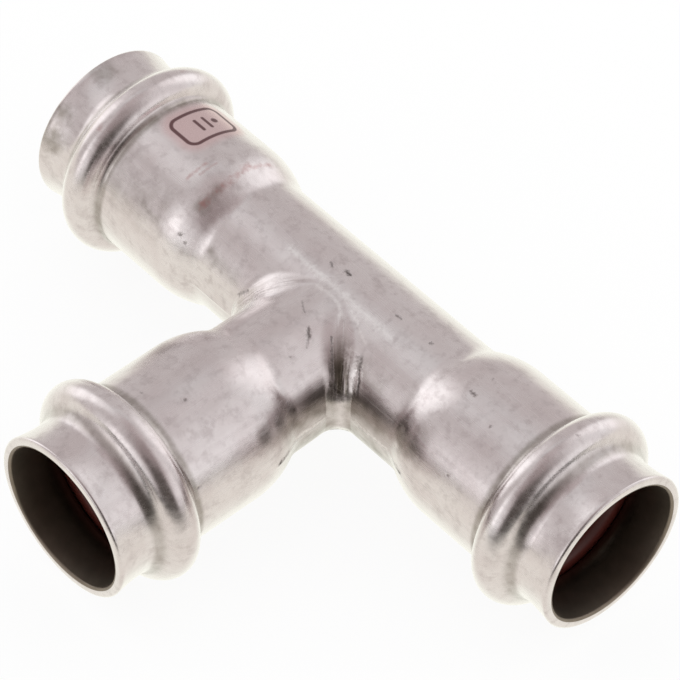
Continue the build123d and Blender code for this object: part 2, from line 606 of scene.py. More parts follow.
def body_tree(sizes: TeeSizes) -> GeometrySketch:
    """Tree of the whole steel body: three arms and two webs for each side of the wall.

    Args:
        sizes: the tee's sizes, for the place of its centre.

    Returns:
        The tree, which takes the meridians as its geometry.
    """
    tree = GeometrySketch(
        "press_tee_body",
        {
            "Meridians": "geometry",
            "Run Radius": "float",
            "Branch Radius": "float",
            "Tube Wall": "float",
            "Web Radius": "float",
            "Web Growth": "float",
            "Web Power": "float",
            "Outer Rows": "int",
            "Inner Rows": "int",
            "Front Columns": "int",
            "Back Columns": "int",
            "Web Rows": "int",
            "Merge Distance": "float",
            "Steel": "material",
            "Bore": "material",
        },
    )
    given = tree.inputs
    arms, webs = arm_tree().tree, web_tree().tree
    join = tree.tree.nodes.new("GeometryNodeJoinGeometry")
    for side in Side:
        inner = side is Side.INNER
        rows = given["Inner Rows" if inner else "Outer Rows"]
        first = tree.math("MULTIPLY", given["Outer Rows"], 2.0) if inner else 0
        wall = given["Tube Wall"] if inner else 0.0
        run = tree.math("SUBTRACT", given["Run Radius"], wall)
        branch = tree.math("SUBTRACT", given["Branch Radius"], wall)
        ball = tree.math("ADD", given["Web Radius"], wall)
        shared = {
            "Web Radius": ball,
            "Web Growth": given["Web Growth"],
            "Web Power": given["Web Power"],
            "Skin Number": side.value,
        }
        for arm in Arm:
            is_branch = arm is Arm.BRANCH
            made = tree.node("GeometryNodeGroup", {}, node_tree=arms)
            values = shared | {
                "Meridians": given["Meridians"],
                "First Point": tree.math("ADD", first, rows) if is_branch else first,
                "Rows": rows,
                "Front Columns": given["Front Columns"],
                "Back Columns": given["Front Columns" if is_branch else "Back Columns"],
                "Both Sides": is_branch,
                "Neighbour Radius": run if is_branch else branch,
            }
            tree.fill(made, values)
            turned = tree.node(
                "GeometryNodeTransform", {"Geometry": made.outputs[0], "Rotation": arm.value}
            ).outputs[0]
            tree.tree.links.new(turned, join.inputs[0])
        for arm in (Arm.RIGHT, Arm.LEFT):
            made = tree.node("GeometryNodeGroup", {}, node_tree=webs)
            values = shared | {
                "Run Radius": run,
                "Branch Radius": branch,
                "Rows": given["Web Rows"],
                "Columns": given["Front Columns"],
            }
            tree.fill(made, values)
            turned = tree.node(
                "GeometryNodeTransform", {"Geometry": made.outputs[0], "Rotation": arm.value}
            ).outputs[0]
            tree.tree.links.new(turned, join.inputs[0])
    merged = tree.node(
        "GeometryNodeMergeByDistance",
        {"Geometry": join.outputs[0], "Distance": given["Merge Distance"]},
    ).outputs[0]
    placed = tree.node(
        "GeometryNodeTransform", {"Geometry": merged, "Translation": sizes.centre()}
    ).outputs[0]
    real = tree.node("GeometryNodeRealizeInstances", {"Geometry": placed}).outputs[0]
    steel = tree.node("GeometryNodeSetMaterial", {"Geometry": real, "Material": given["Steel"]}).outputs[0]
    wall_side = tree.node(
        "GeometryNodeInputNamedAttribute", {"Name": WALL_SIDE}, data_type="FLOAT"
    ).outputs[0]
    inside = tree.math("GREATER_THAN", wall_side, (Side.OUTER.value + Side.INNER.value) / 2)
    bore = tree.node(
        "GeometryNodeSetMaterial",
        {"Geometry": steel, "Selection": inside, "Material": given["Bore"]},
    ).outputs[0]
    tree.finish(bore)
    return tree


@dataclass(frozen=True)
class Crotch:
    """True form of the blend between the run and the branch, as a level set.

    The blend's width at a height follows one rule, and near the middle plane its edges are crisp.
    """

    middle: float = 1.95 * MM
    growth: float = 1.6 * MM
    top_power: int = 10
    crisp_share: float = 0.75
    crisp_height: float = 2.4 * MM
    crisp_fade: float = 2.4 * MM
    dip: float = 0.15 * MM
    dip_start: float = 8.0 * MM
    dip_end: float = 14.0 * MM
    step: float = 0.01 * MM

    def level(self, sizes: TeeSizes, side: Side, points: np.ndarray) -> np.ndarray:
        """Signed distance, in metres, from the blended skin.

        Args:
            sizes: the tee's sizes.
            side: which skin is meant.
            points: places from the tee's centre, one a row.

        Returns:
            One distance for each point, positive outside.
        """
        x, y, z = points.T
        run = sizes.tube_radius(Arm.RIGHT, side)
        branch = sizes.tube_radius(Arm.BRANCH, side)
        near = 1 - np.clip((-y - self.dip_start) / (self.dip_end - self.dip_start), 0, 1)
        branch = branch - self.dip * near * near * (3 - 2 * near)
        share = np.clip(np.abs(z) / run, 0, 1)
        wall = sizes.tube_wall if side is Side.INNER else 0.0
        width = (self.middle + wall + self.growth * share**2) * (1 - share**self.top_power) ** 2
        width = np.maximum(width, self.step)
        from_run = np.hypot(y, z) - run
        from_branch = np.hypot(x, z) - branch
        nearest = np.minimum(from_run, from_branch)
        inward = np.hypot(np.maximum(width - from_run, 0), np.maximum(width - from_branch, 0))
        rounded = np.maximum(width, nearest) - inward
        flat = np.minimum(nearest, (from_run + from_branch - width) / math.sqrt(2))
        fade = np.clip((np.abs(z) - self.crisp_height) / self.crisp_fade, 0, 1)
        crisp = self.crisp_share * (1 - fade) if side is Side.OUTER else 0.0
        return rounded + (flat - rounded) * crisp

    def slope(self, sizes: TeeSizes, side: Side, points: np.ndarray) -> np.ndarray:
        """Gradient of the level, one row for each point."""
        rows = []
        for axis in range(3):
            shift = np.zeros(3)
            shift[axis] = self.step
            rise = self.level(sizes, side, points + shift) - self.level(sizes, side, points - shift)
            rows.append(rise / (2 * self.step))
        return np.array(rows).T

    def settle(self, sizes: TeeSizes, side: Side, points: np.ndarray, steps: int) -> np.ndarray:
        """Moves points along the slope until they lie on the blended skin.

        Args:
            sizes: the tee's sizes.
            side: which skin they belong to.
            points: places from the tee's centre.
            steps: how often the move is repeated.

        Returns:
            The moved points.
        """
        for _ in range(steps):
            slope = self.slope(sizes, side, points)
            length = np.maximum((slope**2).sum(axis=1), 0.25)
            level = self.level(sizes, side, points)
            points = points - slope * (level / length)[:, None]
        return points


@dataclass(frozen=True)
class PartingLine:
    """Fine ridge that the two halves of the die leave at mid height, from the web to the shoulders."""

    height: float = 0.1 * MM
    start: float = 10.6 * MM
    full: float = 12.0 * MM
    fade: float = 19.5 * MM
    end: float = 21.0 * MM

    def raise_points(self, points: np.ndarray, reach_half: float) -> np.ndarray:
        """Moves the points at mid height outwards.

        Args:
            points: places of the outer skin from the tee's centre, one a row.
            reach_half: how far from mid height a point still belongs to the ridge.

        Returns:
            The moved points.
        """
        x, y, z = points.T
        along = np.maximum(np.abs(x), -y)
        rise = np.clip((along - self.start) / (self.full - self.start), 0, 1)
        fall = 1 - np.clip((along - self.fade) / (self.end - self.fade), 0, 1)
        near = (np.abs(z) < reach_half) & (y < 0)
        lift = self.height * rise * fall * near
        on_branch = -y > np.abs(x)
        moved = points.copy()
        moved[:, 0] += np.where(on_branch, np.sign(x) * lift, 0.0)
        moved[:, 1] -= np.where(on_branch, 0.0, lift)
        return moved


@dataclass
class PressedBody:
    """The one-piece steel body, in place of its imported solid."""

    sizes: TeeSizes
    web: Web
    crotch: Crotch
    parting: PartingLine
    detail: Detail

    def meridian_object(self) -> tuple[bpy.types.Object, int, int]:
        """Makes an object that holds the four half sections as loose points.

        Returns:
            The object, and the number of points of an outer and of an inner half section.
        """
        rows, counts = [], []
        for side in Side:
            for arm in (Arm.RIGHT, Arm.BRANCH):
                detail = self.detail if side is Side.OUTER else INNER_DETAIL
                points = Meridian(self.sizes, detail, arm, side).points()
                rows += points
                counts.append(len(points))
        mesh = bpy.data.meshes.new("pressed_body")
        mesh.from_pydata(rows, [], [])
        made = bpy.data.objects.new("pressed_body", mesh)
        bpy.context.scene.collection.objects.link(made)
        return made, counts[0], counts[-1]

    def build(self, steel: bpy.types.Material, bore: bpy.types.Material) -> bpy.types.Object:
        """Builds the body, settles its crotch and parents it to the root body's empty.

        Args:
            steel: finish of the outside and the lips.
            bore: finish of the inside.

        Returns:
            The finished piece.
        """
        piece, outer_rows, inner_rows = self.meridian_object()
        tree = body_tree(self.sizes)
        modifier = piece.modifiers.new("body", "NODES")
        modifier.node_group = tree.tree
        values = {
            "Run Radius": self.sizes.tube,
            "Branch Radius": self.sizes.branch_tube,
            "Tube Wall": self.sizes.tube_wall,
            "Web Radius": self.web.middle_radius,
            "Web Growth": self.web.growth,
            "Web Power": self.web.growth_power,
            "Outer Rows": outer_rows,
            "Inner Rows": inner_rows,
            "Front Columns": self.detail.front_columns,
            "Back Columns": self.detail.back_columns,
            "Web Rows": self.detail.web_rows,
            "Merge Distance": self.detail.merge,
            "Steel": steel,
            "Bore": bore,
        }
        for label, value in values.items():
            modifier[tree.identifier(label)] = value
        mesh = evaluated_mesh(piece)
        if mesh.materials[0] is None:
            mesh.materials.pop(index=0)
        piece.modifiers.remove(modifier)
        piece.data = mesh
        self.settle_crotch(mesh)
        close_and_smooth(mesh, self.detail.merge)
        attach(piece, "root")
        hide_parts("tee_body")
        return piece

    def settle_crotch(self, mesh: bpy.types.Mesh) -> None:
        """Moves the points around the crotch to their true form."""
        count = len(mesh.vertices)
        places = np.empty(count * 3)
        mesh.vertices.foreach_get("co", places)
        centre = np.array(self.sizes.centre())
        places = places.reshape(-1, 3) - centre
        marks = np.empty(count)
        mesh.attributes[BLEND_SKIN].data.foreach_get("value", marks)
        for side in Side:
            chosen = (np.abs(marks - side.value) < 0.25) & (places[:, 1] <= self.detail.merge)
            moved = self.crotch.settle(self.sizes, side, places[chosen], self.detail.relax_steps)
            places[chosen] = moved
        outer = np.hypot(places[:, 1], places[:, 2]) > self.sizes.tube - self.sizes.tube_wall / 2
        outer &= np.hypot(places[:, 0], places[:, 2]) > self.sizes.branch_tube - self.sizes.tube_wall / 2
        spacing = self.sizes.tube * math.sin(math.pi / self.detail.front_columns)
        places[outer] = self.parting.raise_points(places[outer], spacing / 2)
        mesh.vertices.foreach_set("co", (places + centre).ravel())
        mesh.attributes.remove(mesh.attributes[BLEND_SKIN])
        mesh.attributes.remove(mesh.attributes[WALL_SIDE])
        mesh.update()


def evaluated_mesh(piece: bpy.types.Object) -> bpy.types.Mesh:
    """Turns a piece's modifiers into a plain mesh.

    Args:
        piece: the object whose modifiers are evaluated.

    Returns:
        The new mesh, with the piece's name.
    """
    graph = bpy.context.evaluated_depsgraph_get()
    made = bpy.data.meshes.new_from_object(piece.evaluated_get(graph))
    made.name = piece.name
    return made


def close_and_smooth(mesh: bpy.types.Mesh, distance: float) -> None:
    """Merges doubles, points the faces outwards and shades them smooth."""
    work = bmesh.new()
    work.from_mesh(mesh)
    bmesh.ops.remove_doubles(work, verts=work.verts, dist=distance)
    bmesh.ops.dissolve_degenerate(work, edges=work.edges, dist=distance)
    bmesh.ops.recalc_face_normals(work, faces=work.faces)
    for face in work.faces:
        face.smooth = True
    work.to_mesh(mesh)
    open_edges = sum(1 for edge in work.edges if len(edge.link_faces) != 2)
    LOG.info("%s: %d faces, %d open edges", mesh.name, len(work.faces), open_edges)
    work.free()


class ShaderSketch(Sketch):
    """A material's node tree with one Principled surface."""

    def __init__(self, name: str, **constants) -> None:
        """Makes the material.

        Args:
            name: the material's name.
            constants: values of the surface that are the same all over, by socket name with
                underscores for spaces.
        """
        self.material = bpy.data.materials.new(name)
        self.material.use_nodes = True
        super().__init__(self.material.node_tree)
        self.tree.nodes.clear()
        self.surface = self.tree.nodes.new("ShaderNodeBsdfPrincipled")
        out = self.tree.nodes.new("ShaderNodeOutputMaterial")
        self.tree.links.new(self.surface.outputs[0], out.inputs[0])
        for label, value in constants.items():
            self.surface.inputs[label.replace("_", " ")].default_value = value

    def set(self, label: str, socket: bpy.types.NodeSocket) -> None:
        """Joins a socket to one of the surface's inputs."""
        self.tree.links.new(socket, self.surface.inputs[label])

    def place(self, origin: Vector) -> bpy.types.NodeSocket:
        """Object coordinates, measured from a point."""
        coordinates = self.node("ShaderNodeTexCoord").outputs["Object"]
        return self.vector("SUBTRACT", coordinates, tuple(origin))

    def noise(self, vector, scale: float, detail: float = 2.0, rough: float = 0.5):
        """Adds a Noise texture and returns its value."""
        inputs = {"Vector": vector, "Scale": scale, "Detail": detail, "Roughness": rough}
        return self.node("ShaderNodeTexNoise", inputs).outputs[0]

    def blend(self, share, first, second):
        """Mixes two colours and returns the result."""
        made = self.node("ShaderNodeMix", data_type="RGBA")
        for socket, value in ((made.inputs[0], share), (made.inputs[6], first), (made.inputs[7], second)):
            if isinstance(value, bpy.types.NodeSocket):
                self.tree.links.new(value, socket)
            else:
                socket.default_value = value
        return made.outputs[2]

    def choose(self, share, first, second):
        """Mixes two vectors and returns the result."""
        made = self.node("ShaderNodeMix", {0: share, 4: first, 5: second}, data_type="VECTOR")
        return made.outputs[1]

    def tune(self, **finish) -> bpy.types.NodeSocket:
        """Adds a bump and returns its normal, from a height, its strength and its depth."""
        inputs = {name.capitalize(): value for name, value in finish.items()}
        return self.node("ShaderNodeBump", inputs).outputs[0]


@dataclass(frozen=True)
class Mark:
    """The printed mark on the left socket: a rounded outline with two bars and a dot in it."""

    along: float = 29.3 * MM
    turn: float = 74.5
    half_length: float = 2.7 * MM
    half_width: float = 4.0 * MM
    corner: float = 1.4 * MM
    line: float = 0.5 * MM
    bar_reach: float = 1.15 * MM
    bar_half: float = 0.24 * MM
    bar_places: tuple = (-0.55 * MM, 0.75 * MM)
    dot_place: float = -1.75 * MM
    dot_radius: float = 0.46 * MM
    ink: tuple = (0.06, 0.005, 0.008, 1.0)
    tint: tuple = (0.76, 0.57, 0.57, 1.0)


@dataclass(frozen=True)
class Scar:
    """A mark along a short line, in millimetres from the tee's centre, used for pits, smudges and rust and for
    painted highlights and shade.
    """

    start: tuple
    end: tuple
    radius: float
    strength: float = 1.0


def spot(place: tuple, radius: float = 0.34, strength: float = 0.8) -> Scar:
    """A round mark."""
    return Scar(place, place, radius, strength)


def trail(points: tuple, radius: float, strength: float) -> tuple:
    """Marks end to end along a broken line."""
    return tuple(Scar(start, end, radius, strength) for start, end in zip(points, points[1:]))


@dataclass(frozen=True)
class Wear:
    """Where the steel is pitted, smudged and stained, and where highlights and shade are painted on it."""

    pits: tuple = (
        Scar((-3.1, 0.0, 9.0), (-2.5, -0.2, 9.0), 0.26, 0.7),
        Scar((-0.9, 0.5, 9.0), (-0.2, 0.4, 9.0), 0.34),
        Scar((8.1, 0.3, 9.0), (8.9, 0.3, 9.0), 0.26, 0.6),
        spot((13.9, 0.4, 9.0)),
        Scar((23.1, -2.0, 10.5), (23.9, -2.0, 10.5), 0.3, 0.7),
        spot((23.5, 1.1, 10.6), 0.26, 0.5),
        spot((27.3, -9.3, 5.2), 0.3, 0.6),
        spot((28.2, -3.6, 10.0), 0.3, 0.5),
        spot((37.2, 1.1, 13.0), 0.3, 0.6),
        Scar((-1.2, -6.2, 8.6), (0.4, -7.2, 8.6), 0.22, 0.45),
        Scar((2.4, -8.3, 8.3), (3.4, -9.2, 7.9), 0.36, 0.75),
        Scar((3.4, -9.2, 7.9), (3.9, -10.0, 7.6), 0.26, 0.5),
        spot((3.9, -12.6, 7.8), 0.26, 0.4),
        spot((2.6, -27.3, 10.3), 0.36, 0.55),
        spot((9.6, -31.3, 4.5), 0.3, 0.6),
        spot((-1.4, -30.4, 10.6), 0.26, 0.5),
        spot((-20.4, -8.4, 5.7), 0.42),
        spot((-19.6, -8.5, 5.0), 0.3, 0.6),
        Scar((8.9, -6.0, 6.8), (9.4, -6.7, 6.1), 0.6, 0.6),
        Scar((8.1, -9.6, 3.9), (9.4, -9.2, 3.0), 0.5, 0.85),
        Scar((9.4, -9.2, 3.0), (10.2, -8.6, 3.2), 0.4, 0.7),
        Scar((9.4, -17.8, 0.1), (10.4, -19.8, 0.1), 0.4, 0.9),
        Scar((19.3, -9.5, 0.0), (20.5, -10.3, -0.1), 0.4, 0.9),
        Scar((-10.0, -8.3, 3.7), (-9.1, -7.8, 4.8), 0.4, 0.6),
        *trail(((9.2, -6.2, 6.5), (9.7, -7.0, 5.8), (10.4, -7.6, 5.0), (10.8, -8.2, 3.7)), 0.22, 0.85),
        *trail(((4.7, -6.8, 7.6), (5.8, -7.7, 6.8), (7.2, -8.8, 5.4), (7.9, -9.4, 4.3)), 0.26, 0.6),
        # Dark lines just under the parting ridge: painted shade, paired with the painted highlights above it.
        *trail(((8.8, -12.0, -0.35), (8.8, -16.5, -0.35), (10.1, -19.6, -0.3)), 0.16, 0.45),
        *trail(((12.0, -9.1, -0.35), (17.3, -9.1, -0.35), (20.3, -10.2, -0.3)), 0.16, 0.45),
    )
    smudges: tuple = (
        Scar((-27.0, -8.8, 5.9), (-24.0, -9.0, 5.6), 1.3, 0.4),
        Scar((-16.3, -7.4, 5.2), (-15.3, -7.6, 4.9), 1.2, 0.5),
        Scar((-14.5, -7.5, 5.1), (-11.5, -7.8, 4.7), 1.2, 0.25),
        Scar((-20.4, -5.3, 8.6), (-20.2, -2.6, 9.6), 1.2, 0.45),
        Scar((-44.2, -7.8, 7.2), (-43.4, -9.6, 4.6), 2.6, 0.62),
        Scar((-43.8, -1.4, 10.5), (-43.8, 0.4, 10.5), 1.8, 0.35),
        Scar((18.0, -8.6, 3.2), (21.1, -9.2, 4.7), 2.6, 0.5),
        Scar((8.6, -18.6, 3.2), (9.2, -21.1, 4.7), 2.0, 0.28),
        Scar((-32.0, -8.8, 5.6), (-26.0, -8.6, 6.0), 3.6, 0.26),
        Scar((10.3, -6.9, 5.9), (13.2, -7.9, 4.6), 2.4, 0.3),
    )
    rust: tuple = (
        Scar((-20.6, 2.6, 9.9), (-20.1, -2.4, 9.7), 0.7, 0.4),
        Scar((-20.3, -2.0, 9.8), (-20.3, -5.4, 8.5), 0.55, 0.55),
        Scar((-20.1, 5.4, 8.5), (-20.4, 1.6, 10.0), 0.5, 0.35),
        Scar((-23.9, -1.5, 10.5), (-24.0, -4.2, 9.8), 0.34, 0.4),
        Scar((-23.0, -0.6, 10.6), (-23.2, -3.0, 10.2), 0.26, 0.3),
        Scar((-36.6, -7.5, 10.7), (-36.6, 6.0, 11.6), 0.5, 0.28),
    )
    # Painted highlights: light lines along the run's top, the web's creases and just above the parting ridge.
    shine: tuple = (
        Scar((-8.0, -1.9, 8.85), (9.8, -2.3, 8.75), 0.7, 0.6),
        *trail(((7.2, -6.3, 6.8), (8.2, -6.9, 6.1), (9.3, -7.5, 5.3), (10.0, -8.2, 4.0)), 0.8, 0.85),
        *trail(((9.6, -6.2, 6.4), (10.2, -6.9, 5.8), (11.0, -7.7, 4.7)), 0.22, 0.5),
        *trail(((-1.8, -3.3, 8.6), (1.6, -3.2, 8.6), (2.9, -3.8, 8.4), (3.5, -4.4, 8.3)), 0.4, 0.6),
        *trail(((3.8, -3.0, 8.6), (5.3, -3.4, 8.4), (6.8, -4.1, 8.1), (8.1, -4.6, 7.8)), 0.36, 0.5),
        *trail(((8.9, -11.5, 0.25), (8.9, -16.5, 0.25), (10.0, -19.2, 0.25)), 0.36, 0.6),
        *trail(((11.6, -9.2, 0.25), (17.0, -9.2, 0.25), (20.0, -10.0, 0.25)), 0.36, 0.6),
    )


@dataclass(frozen=True)
class SteelFinish:
    """Pickled stainless steel: satin, pinkish grey, with fine lengthwise streaks, plus painted shade in the
    crotch, the web and the bead valleys, painted highlights and a painted sheen towards the outline.
    """

    sizes: TeeSizes
    mark: Mark = Mark()
    wear: Wear = Wear()
    colour: tuple = (0.745, 0.69, 0.69, 1.0)
    cloud_colour: tuple = (0.68, 0.61, 0.61, 1.0)
    streak_colour: tuple = (0.6, 0.54, 0.54, 1.0)
    blotch_colour: tuple = (0.56, 0.5, 0.5, 1.0)
    # Colour of the painted highlights.
    shine_colour: tuple = (0.93, 0.89, 0.88, 1.0)
    # Whitish colour of the painted sheen towards the outline.
    edge_colour: tuple = (0.97, 0.96, 0.95, 1.0)
    # Dark colour of the painted shade in the crotch, the web and the bead valleys, partly dirt in the valleys.
    grime_colour: tuple = (0.15, 0.125, 0.085, 1.0)
    # Colour of the pits and of the painted shade under the parting ridge.
    pit_colour: tuple = (0.07, 0.055, 0.05, 1.0)
    rust_colour: tuple = (0.4, 0.14, 0.13, 1.0)
    roughness: float = 0.25
    spread: float = 0.6
    valley_half: float = 0.9 * MM

    def material(self) -> bpy.types.Material:
        """Draws the node tree.

        Returns:
            The finished material.
        """
        sketch = ShaderSketch("pickled_steel", Anisotropic=self.spread)
        place = sketch.place(self.sizes.centre())
        x, y, z = sketch.split(place)
        out_x, out_y = sketch.math("ABSOLUTE", x), sketch.math("MULTIPLY", y, -1.0)
        on_branch = sketch.math("GREATER_THAN", out_y, out_x)
        run_way = sketch.vector("MULTIPLY", place, (90.0, 1500.0, 1500.0))
        branch_way = sketch.vector("MULTIPLY", place, (1500.0, 90.0, 1500.0))
        way = sketch.choose(on_branch, run_way, branch_way)
        streaks = sketch.noise(way, 1.0, 3.0, 0.6)
        bands = sketch.noise(sketch.vector("SCALE", way, scale=0.3), 1.0, 2.0, 0.5)
        clouds = sketch.noise(place, 160.0, 3.0, 0.55)
        blotches = sketch.noise(sketch.vector("SCALE", place, scale=1.7), 420.0, 3.0, 0.6)
        colour = sketch.blend(sketch.smooth(clouds, 0.35, 0.7), self.colour, self.cloud_colour)
        streaky = sketch.math("MULTIPLY", sketch.smooth(bands, 0.5, 0.8), 0.45)
        colour = sketch.blend(streaky, colour, self.streak_colour)
        colour = sketch.blend(sketch.smooth(blotches, 0.45, 0.75, 0.0, 0.75), colour, self.blotch_colour)
        # Painted sheen: the colour turns whiter where the surface turns away from the view, towards the
        # outline.
        facing = sketch.node("ShaderNodeLayerWeight", {"Blend": 0.5}).outputs["Facing"]
        colour = sketch.blend(sketch.smooth(facing, 0.5, 0.9), colour, self.edge_colour)
        web, folds = self.web_folds(sketch, x, y, z, out_x, out_y)
        # Painted shade in the crotch and the bead valleys, partly dirt in the valleys, with the smudges.
        film = self.grime(sketch, place, x, out_x, out_y, z)
        # Painted shade in the web between run and branch, streaked along its folds, mostly on the +X side and
        # fading out above 5.6 mm.
        soiled = sketch.math("MULTIPLY", web, sketch.smooth(folds, 0.35, 0.62, 0.15, 0.85))
        soiled = sketch.math("MULTIPLY", soiled, sketch.smooth(x, -1.0 * MM, 1.0 * MM, 0.35, 1.0))
        high = sketch.math("ABSOLUTE", z)
        soiled = sketch.math("MULTIPLY", soiled, sketch.smooth(high, 5.6 * MM, 8.4 * MM, 1.0, 0.0))
        soiled = sketch.math("MULTIPLY", soiled, sketch.smooth(high, 2.7 * MM, 3.4 * MM))
        colour = sketch.blend(sketch.math("MAXIMUM", film, soiled), colour, self.grime_colour)
        # Painted highlights, blended in as a lighter colour.
        shine = self.scars(sketch, place, self.wear.shine, 2200.0)
        colour = sketch.blend(shine, colour, self.shine_colour)
        rust = self.scars(sketch, place, self.wear.rust, 1500.0)
        colour = sketch.blend(rust, colour, self.rust_colour)
        # Pits, and the painted shade under the parting ridge.
        pits = self.scars(sketch, place, self.wear.pits, 3000.0)
        colour = sketch.blend(pits, colour, self.pit_colour)
        tint, ink = self.mark_shares(sketch, x, y, z)
        colour = sketch.blend(tint, colour, self.mark.tint)
        colour = sketch.blend(ink, colour, self.mark.ink)
        sketch.set("Base Color", colour)
        sketch.set("Metallic", sketch.math("MULTIPLY_ADD", ink, -0.9, 1.0))
        satin = sketch.smooth(streaks, 0.3, 0.7, self.roughness - 0.04, self.roughness + 0.05)
        sketch.set("Roughness", sketch.math("MULTIPLY_ADD", sketch.math("MAXIMUM", pits, rust), 0.2, satin))
        bumped = sketch.tune(height=streaks, strength=0.06, distance=0.05 * MM)
        bumped = sketch.tune(height=blotches, strength=0.12, distance=0.12 * MM, normal=bumped)
        folded = sketch.math("MULTIPLY", folds, web)
        bumped = sketch.tune(height=folded, strength=0.5, distance=0.25 * MM, normal=bumped)
        dents = sketch.math("MULTIPLY", pits, -1.0)
        bumped = sketch.tune(height=dents, strength=0.4, distance=0.1 * MM, normal=bumped)
        sketch.set("Normal", bumped)
        lengthwise = sketch.choose(on_branch, (1.0, 0.0, 0.0), (0.0, 1.0, 0.0))
        sketch.set("Tangent", sketch.vector("CROSS_PRODUCT", bumped, lengthwise))
        return sketch.material

    def web_folds(self, sketch: ShaderSketch, x, y, z, out_x, out_y) -> tuple:
        """Where the webs are, 0 to 1, and the folds that run along them.

        Args:
            sketch: the material's node tree.
            x: place along the run.
            y: place along the branch.
            z: height from the middle plane.
            out_x: distance from the plane through the branch.
            out_y: distance from the run's axis plane, positive on the branch's side.

        Returns:
            The share and the folds' noise.
        """
        off_run = sketch.vector("LENGTH", sketch.combine(0.0, y, z))
        off_run = sketch.math("SUBTRACT", off_run, self.sizes.tube)
        off_branch = sketch.vector("LENGTH", sketch.combine(x, 0.0, z))
        off_branch = sketch.math("SUBTRACT", off_branch, self.sizes.branch_tube)
        web = sketch.smooth(sketch.math("MINIMUM", off_run, off_branch), 0.02 * MM, 0.3 * MM)
        along = sketch.math("MAXIMUM", out_x, out_y)
        web = sketch.math("MULTIPLY", web, sketch.smooth(along, 12.0 * MM, 15.0 * MM, 1.0, 0.0))
        across = sketch.math("SUBTRACT", off_run, off_branch)
        way = sketch.combine(across, sketch.math("MULTIPLY", z, 0.12), sketch.math("MULTIPLY", x, 0.04))
        return web, sketch.noise(way, 1500.0, 2.0, 0.55)

    def grime(self, sketch: ShaderSketch, place, x, out_x, out_y, z) -> bpy.types.NodeSocket:
        """Painted shade in the crotch, painted shade that is partly dirt in the valleys beside the beads, and
        the dark smudges, 0 to 1.

        Args:
            sketch: the material's node tree.
            place: the place from the tee's centre.
            x: place along the run.
            out_x: distance from the plane through the branch.
            out_y: distance from the run's axis plane, positive on the branch's side.
            z: height from the middle plane.

        Returns:
            How dark the painted shade and the smudges make the steel.
        """
        blot = sketch.noise(place, 700.0, 3.0, 0.6)
        high = sketch.math("ABSOLUTE", z)
        along = sketch.math("MAXIMUM", out_x, out_y)
        # Painted shade in the crotch, mostly on the +X side and around mid height.
        film = sketch.smooth(sketch.math("MINIMUM", out_x, out_y), 5.0 * MM, 7.5 * MM, 0.0, 0.62)
        film = sketch.math("MULTIPLY", film, sketch.smooth(high, 2.6 * MM, 5.6 * MM, 1.0, 0.0))
        film = sketch.math("MULTIPLY", film, sketch.smooth(high, 0.0, 2.0 * MM, 0.5, 1.0))
        film = sketch.math("MULTIPLY", film, sketch.smooth(along, 14.0 * MM, 21.0 * MM, 1.0, 0.0))
        film = sketch.math("MULTIPLY", film, sketch.smooth(along, 9.6 * MM, 10.4 * MM, 0.12, 1.0))
        film = sketch.math("MULTIPLY", film, sketch.smooth(x, -1.0 * MM, 1.0 * MM, 0.12, 1.0))
        reach = sketch.node(
            "ShaderNodeMix",
            {0: sketch.math("GREATER_THAN", out_y, out_x), 2: self.sizes.run_half, 3: self.sizes.branch_reach},
        ).outputs[0]
        depth = sketch.math("SUBTRACT", reach, along)
        # Dark lines in the valleys beside the bead: painted shade, partly dirt.
        for valley, strength in ((5.6 * MM, 0.42), (11.7 * MM, 0.6)):
            aside = sketch.math("ABSOLUTE", sketch.math("SUBTRACT", depth, valley))
            line = sketch.smooth(aside, self.valley_half * 0.2, self.valley_half, strength, 0.0)
            film = sketch.math("MAXIMUM", film, line)
        patchy = sketch.smooth(blot, 0.25, 0.7, 0.6, 1.0)
        film = sketch.math("MULTIPLY", film, patchy)
        smudged = self.scars(sketch, place, self.wear.smudges, 500.0)
        return sketch.math("MAXIMUM", film, smudged)

    def scars(self, sketch: ShaderSketch, place, scars: tuple, scale: float) -> bpy.types.NodeSocket:
        """How fully a set of line marks covers a place, 0 to 1.

        Args:
            sketch: the material's node tree.
            place: the place from the tee's centre.
            scars: the marks, real ones and painted ones.
            scale: scale of the noise that frays their edges.

        Returns:
            The share.
        """
        fray = sketch.noise(place, scale, 2.0, 0.6)
        covered = None
        for scar in scars:
            start, end = Vector(scar.start) * MM, Vector(scar.end) * MM
            offset = sketch.vector("SUBTRACT", place, tuple(start))
            line = end - start
            if line.length > 0.0:
                share = sketch.vector("DOT_PRODUCT", offset, tuple(line / line.length_squared))
                share = sketch.math("MINIMUM", sketch.math("MAXIMUM", share, 0.0), 1.0)
                foot = sketch.vector("SCALE", tuple(line), scale=share)
                offset = sketch.vector("SUBTRACT", offset, foot)
            radius = scar.radius * MM
            away = sketch.math("MULTIPLY_ADD", fray, radius * 2.4, sketch.vector("LENGTH", offset))
            share = sketch.smooth(away, radius * 0.9, radius * 2.4, scar.strength, 0.0)
            covered = share if covered is None else sketch.math("MAXIMUM", covered, share)
        return covered

